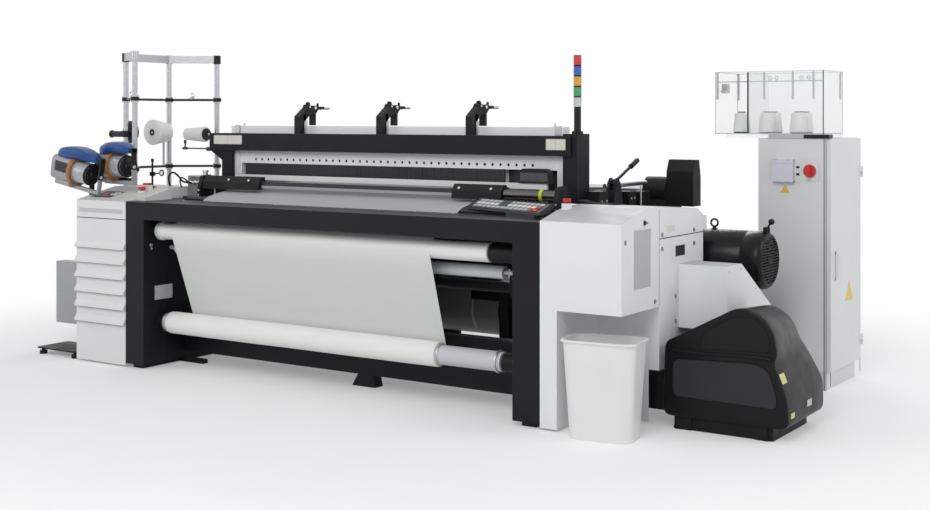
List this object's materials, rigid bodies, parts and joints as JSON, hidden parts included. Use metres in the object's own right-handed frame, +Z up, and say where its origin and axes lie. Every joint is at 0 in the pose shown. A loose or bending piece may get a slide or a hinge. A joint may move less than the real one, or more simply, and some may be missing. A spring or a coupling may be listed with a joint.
{
  "type": "power loom",
  "caption": "Air-jet power loom with cloth roll, louvred and sheet covers, yarn stand with feeders, electric cabinet, shedding box and waste bin.",
  "frame": {"origin": "on the floor, midway between the four anchor bolt holes of the side frames", "axes": "+Z up, +X to the right as the weaver faces the machine, +Y from the weaver towards the warp beam"},
  "size_m": [4.73, 2.2176, 1.874],
  "materials": {
    "frame_black": "semi-gloss machine enamel",
    "graphite_paint": "satin enamel",
    "cover_white": "satin powder coat",
    "cover_grey": "satin powder coat",
    "cabinet_grey": "fine powder coat",
    "steel": "ground",
    "chromed": "polished",
    "alloy": "anodised",
    "cast_black": "painted casting",
    "black_plastic": "moulded",
    "white_plastic": "moulded",
    "red_plastic": "glossy",
    "lens_plastic": "translucent lenses",
    "clear_plastic": "clear sheet",
    "yarn_white": "wound yarn",
    "cloth_white": "fine plain weave",
    "panel_dark": "membrane panel",
    "grey_plastic": "moulded"
  },
  "bodies": {
    "loom": {"front_frame": "frame_black", "side_frame_left": "frame_black", "side_frame_right": "frame_black", "cross_beams": "frame_black", "columns": "frame_black", "girder": "frame_black", "overhead_housing": "cover_white", "top_brackets": "cast_black", "heald_guides": "white_plastic", "breast_plate": "graphite_paint", "temple_bars": "graphite_paint", "temple_castings": "cast_black", "roll_bearings": "cast_black", "cloth_web": "cloth_white", "back_rest_housings": "cast_black", "left_cover": "cover_white", "right_front_cover": "cover_white", "right_side_cover": "cover_white", "cover_screws": "steel", "belt_cover": "cover_white", "gear_case": "cast_black", "motor_housing": "cast_black", "shedding_box": "frame_black", "waste_bin": "white_plastic", "cabinet_body": "cabinet_grey", "cone_box": "clear_plastic", "yarn_cones": "yarn_white", "yarn_stand": "alloy", "feeder_post": "cast_black", "feeder_housings": "grey_plastic", "signal_tower": "lens_plastic", "operation_panel": "panel_dark", "valve_box": "steel"},
    "clamp_lever_1": {"clamp_lever_1": "steel"},
    "clamp_lever_2": {"clamp_lever_2": "steel"},
    "clamp_lever_3": {"clamp_lever_3": "steel"},
    "sley": {"sley": "graphite_paint", "reed": "steel", "weft_feeler": "black_plastic"},
    "heald_frame_1": {"heald_frame_1": "cover_white"},
    "heald_frame_2": {"heald_frame_2": "cover_white"},
    "heald_frame_3": {"heald_frame_3": "cover_white"},
    "heald_frame_4": {"heald_frame_4": "cover_white"},
    "take_up_roll": {"take_up_roll": "white_plastic"},
    "press_roller": {"press_roller": "chromed"},
    "cloth_roll": {"cloth_roll_core": "chromed", "cloth_roll": "cloth_white"},
    "warp_beam": {"warp_beam": "graphite_paint"},
    "back_rest_roller": {"back_rest_roller": "chromed"},
    "motor_fan": {"motor_fan": "steel"},
    "brake_lever": {"brake_lever": "black_plastic"},
    "hand_lever": {"hand_lever": "black_plastic"},
    "cabinet_door": {"cabinet_door": "cabinet_grey"},
    "main_switch": {"main_switch": "red_plastic"},
    "emergency_stop": {"emergency_stop": "red_plastic"},
    "push_button": {"push_button": "red_plastic"},
    "cone_box_door": {"cone_box_door": "clear_plastic"},
    "cover_lock": {"cover_lock": "black_plastic"},
    "feeder_drum_1": {"feeder_drum_1": "black_plastic"},
    "feeder_drum_2": {"feeder_drum_2": "black_plastic"}
  },
  "joints": [
    {"name": "clamp_lever_1_lift", "type": "hinge", "parent": "loom", "child": "clamp_lever_1", "pos_m": [-0.66, -0.025, 1.511], "axis": [1, 0, 0], "range_deg": [0, 45]},
    {"name": "clamp_lever_2_lift", "type": "hinge", "parent": "loom", "child": "clamp_lever_2", "pos_m": [-0.049, -0.025, 1.511], "axis": [1, 0, 0], "range_deg": [0, 45]},
    {"name": "clamp_lever_3_lift", "type": "hinge", "parent": "loom", "child": "clamp_lever_3", "pos_m": [0.562, -0.025, 1.511], "axis": [1, 0, 0], "range_deg": [0, 45]},
    {"name": "sley_swing", "type": "hinge", "parent": "loom", "child": "sley", "pos_m": [0, -0.23, 0.56], "axis": [1, 0, 0], "range_deg": [-1.5, 4]},
    {"name": "heald_frame_1_travel", "type": "slide", "parent": "loom", "child": "heald_frame_1", "axis": [0, 0, 1], "range_m": [-0.045, 0.045]},
    {"name": "heald_frame_2_travel", "type": "slide", "parent": "loom", "child": "heald_frame_2", "axis": [0, 0, 1], "range_m": [-0.045, 0.045]},
    {"name": "heald_frame_3_travel", "type": "slide", "parent": "loom", "child": "heald_frame_3", "axis": [0, 0, 1], "range_m": [-0.045, 0.045]},
    {"name": "heald_frame_4_travel", "type": "slide", "parent": "loom", "child": "heald_frame_4", "axis": [0, 0, 1], "range_m": [-0.045, 0.045]},
    {"name": "cloth_roll_turn", "type": "hinge", "parent": "loom", "child": "cloth_roll", "pos_m": [0, -0.68, 0.262], "axis": [1, 0, 0], "continuous": true},
    {"name": "take_up_roll_turn", "type": "hinge", "parent": "loom", "child": "take_up_roll", "pos_m": [0, -0.73, 0.797], "axis": [1, 0, 0], "continuous": true},
    {"name": "press_roller_turn", "type": "hinge", "parent": "loom", "child": "press_roller", "pos_m": [0, -0.615, 0.69], "axis": [1, 0, 0], "continuous": true},
    {"name": "warp_beam_turn", "type": "hinge", "parent": "loom", "child": "warp_beam", "pos_m": [0, 0.73, 0.335], "axis": [1, 0, 0], "continuous": true},
    {"name": "back_rest_turn", "type": "hinge", "parent": "loom", "child": "back_rest_roller", "pos_m": [0, 0.62, 1.045], "axis": [1, 0, 0], "continuous": true},
    {"name": "motor_shaft_turn", "type": "hinge", "parent": "loom", "child": "motor_fan", "pos_m": [0, 0.27, 0.73], "axis": [1, 0, 0], "continuous": true},
    {"name": "brake_lever_release", "type": "hinge", "parent": "loom", "child": "brake_lever", "pos_m": [2.078, 0.27, 0.888], "axis": [0, 1, 0], "range_deg": [0, 15]},
    {"name": "hand_lever_swing", "type": "hinge", "parent": "loom", "child": "hand_lever", "pos_m": [1.318, 0.07, 1.11], "axis": [1, 0, 0], "range_deg": [-8, 60]},
    {"name": "cabinet_door_swing", "type": "hinge", "parent": "loom", "child": "cabinet_door", "pos_m": [2.252, 1.278, 0.65], "axis": [0, 0, 1], "range_deg": [0, 110]},
    {"name": "main_switch_turn", "type": "hinge", "parent": "loom", "child": "main_switch", "pos_m": [2.136, 0.753, 1.168], "axis": [0, 1, 0], "range_deg": [0, 90]},
    {"name": "emergency_stop_press", "type": "slide", "parent": "loom", "child": "emergency_stop", "axis": [0, 0, 1], "range_m": [-0.006, 0], "stiffness_N_per_m": 800, "springref_m": 0.002},
    {"name": "push_button_press", "type": "slide", "parent": "loom", "child": "push_button", "axis": [0, 0, 1], "range_m": [-0.006, 0], "stiffness_N_per_m": 800, "springref_m": 0.002},
    {"name": "cone_box_door_swing", "type": "hinge", "parent": "loom", "child": "cone_box_door", "pos_m": [1.7959, 0.755, 1.5], "axis": [0, 0, -1], "range_deg": [0, 100]},
    {"name": "cover_lock_turn", "type": "hinge", "parent": "loom", "child": "cover_lock", "pos_m": [1.82, -0.597, 0.965], "axis": [1, 0, 0], "range_deg": [0, 90]},
    {"name": "feeder_drum_1_turn", "type": "hinge", "parent": "loom", "child": "feeder_drum_1", "pos_m": [-1.89, -0.746, 1.125], "axis": [0.9848, 0, -0.1736], "continuous": true},
    {"name": "feeder_drum_2_turn", "type": "hinge", "parent": "loom", "child": "feeder_drum_2", "pos_m": [-1.665, -0.64, 1.16], "axis": [0.9703, -0.2419, 0], "continuous": true}
  ],
  "couplings": [
    {"joint": "take_up_roll_turn", "follows": "cloth_roll_turn", "ratio": -1.3333}
  ]
}
